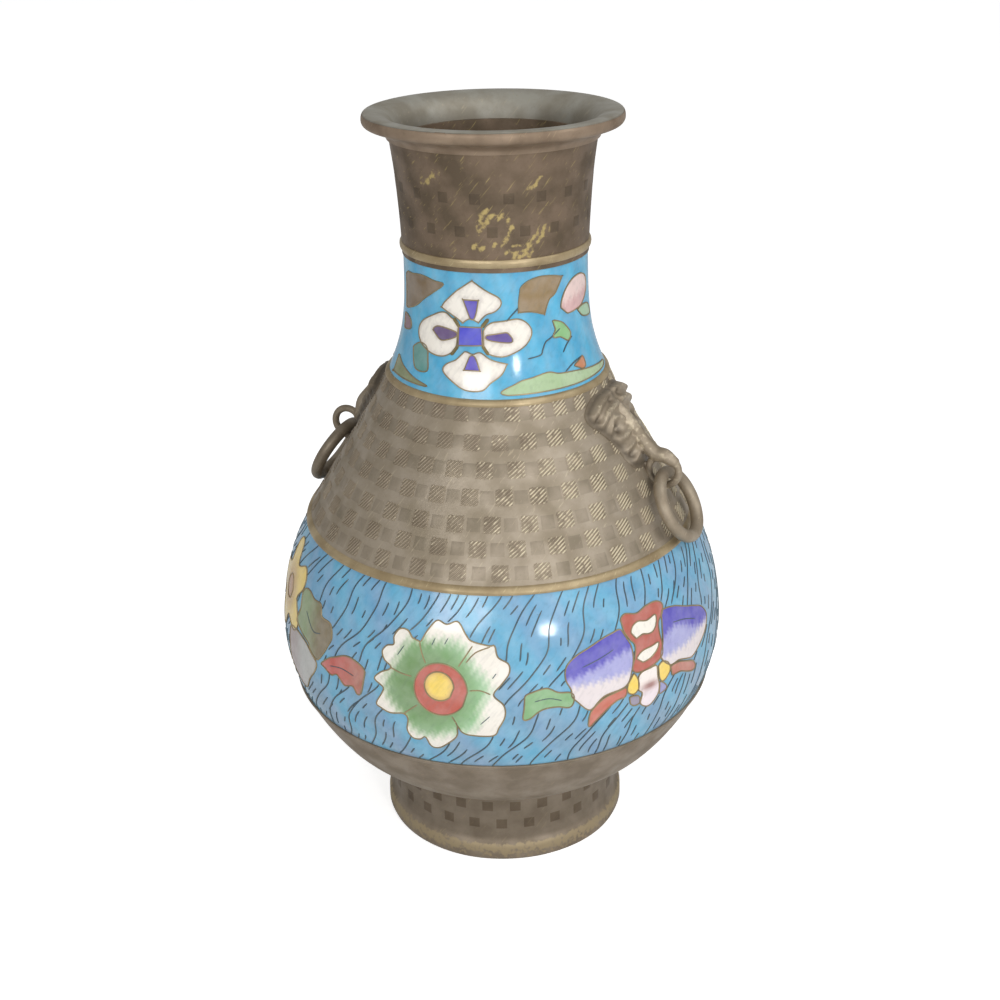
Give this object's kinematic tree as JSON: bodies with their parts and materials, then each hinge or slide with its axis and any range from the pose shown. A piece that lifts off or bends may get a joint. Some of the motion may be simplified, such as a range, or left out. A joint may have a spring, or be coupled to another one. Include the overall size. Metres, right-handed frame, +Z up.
{
  "type": "champleve vase",
  "caption": "Bronze bottle vase with a flared lip, glass-filled ornament bands on neck and belly, and loose rings in mask handles.",
  "frame": {"origin": "centre of the foot underside", "axes": "+Z up along the vase axis; -Y towards the front; the ring handles stand on +X and -X"},
  "size_m": [0.1526, 0.1526, 0.25],
  "materials": {
    "bronze": "aged, satin",
    "dark_bronze": "aged, dark, satin",
    "turquoise_glass": "gloss, opaque",
    "blue_glass": "gloss, opaque",
    "white_glass": "gloss, opaque",
    "violet_glass": "gloss, opaque",
    "olive_glass": "gloss, opaque",
    "pink_glass": "gloss, opaque",
    "green_glass": "gloss, opaque",
    "red_glass": "gloss, opaque",
    "yellow_glass": "gloss, opaque",
    "grey_glass": "gloss, opaque"
  },
  "bodies": {
    "vase": {"vase_body": "bronze", "base_plate": "bronze", "left_handle": "dark_bronze", "right_handle": "dark_bronze", "belly_ground": "blue_glass", "neck_ground": "turquoise_glass", "front_lotus_petals": "white_glass", "front_lotus_star": "green_glass", "front_lotus_ring": "red_glass", "front_lotus_centre": "yellow_glass", "front_butterfly_left_wing": "violet_glass", "front_butterfly_right_wing": "violet_glass", "front_butterfly_body": "red_glass", "front_butterfly_head": "pink_glass", "front_butterfly_left_eye": "yellow_glass", "front_butterfly_right_eye": "yellow_glass", "front_butterfly_left_strip": "red_glass", "front_butterfly_right_strip": "red_glass", "front_yellow_flower": "yellow_glass", "front_olive_leaf": "olive_glass", "front_grey_leaf": "grey_glass", "front_red_leaf": "red_glass", "front_green_leaf": "green_glass", "front_neck_petal_top": "white_glass", "front_neck_petal_left": "white_glass", "front_neck_petal_right": "white_glass", "front_neck_petal_bottom": "white_glass", "front_neck_flower_centre": "violet_glass", "front_neck_olive_left": "olive_glass", "front_neck_olive_right": "olive_glass", "front_neck_bud": "pink_glass", "back_lotus_petals": "white_glass", "back_lotus_star": "green_glass", "back_butterfly_left_wing": "violet_glass", "back_butterfly_right_wing": "violet_glass", "back_butterfly_body": "red_glass", "back_neck_petal_top": "white_glass", "back_neck_petal_left": "white_glass", "back_neck_petal_right": "white_glass", "back_neck_petal_bottom": "white_glass", "back_neck_flower_centre": "violet_glass"},
    "left_ring": {"left_ring": "dark_bronze"},
    "right_ring": {"right_ring": "dark_bronze"}
  },
  "joints": [
    {"name": "right_ring_swing", "type": "hinge", "parent": "vase", "child": "right_ring", "pos_m": [0.0581, 0, 0.1376], "axis": [0, -1, 0], "range_deg": [0, 150]},
    {"name": "left_ring_swing", "type": "hinge", "parent": "vase", "child": "left_ring", "pos_m": [-0.0581, 0, 0.1376], "axis": [0, 1, 0], "range_deg": [0, 150]}
  ]
}
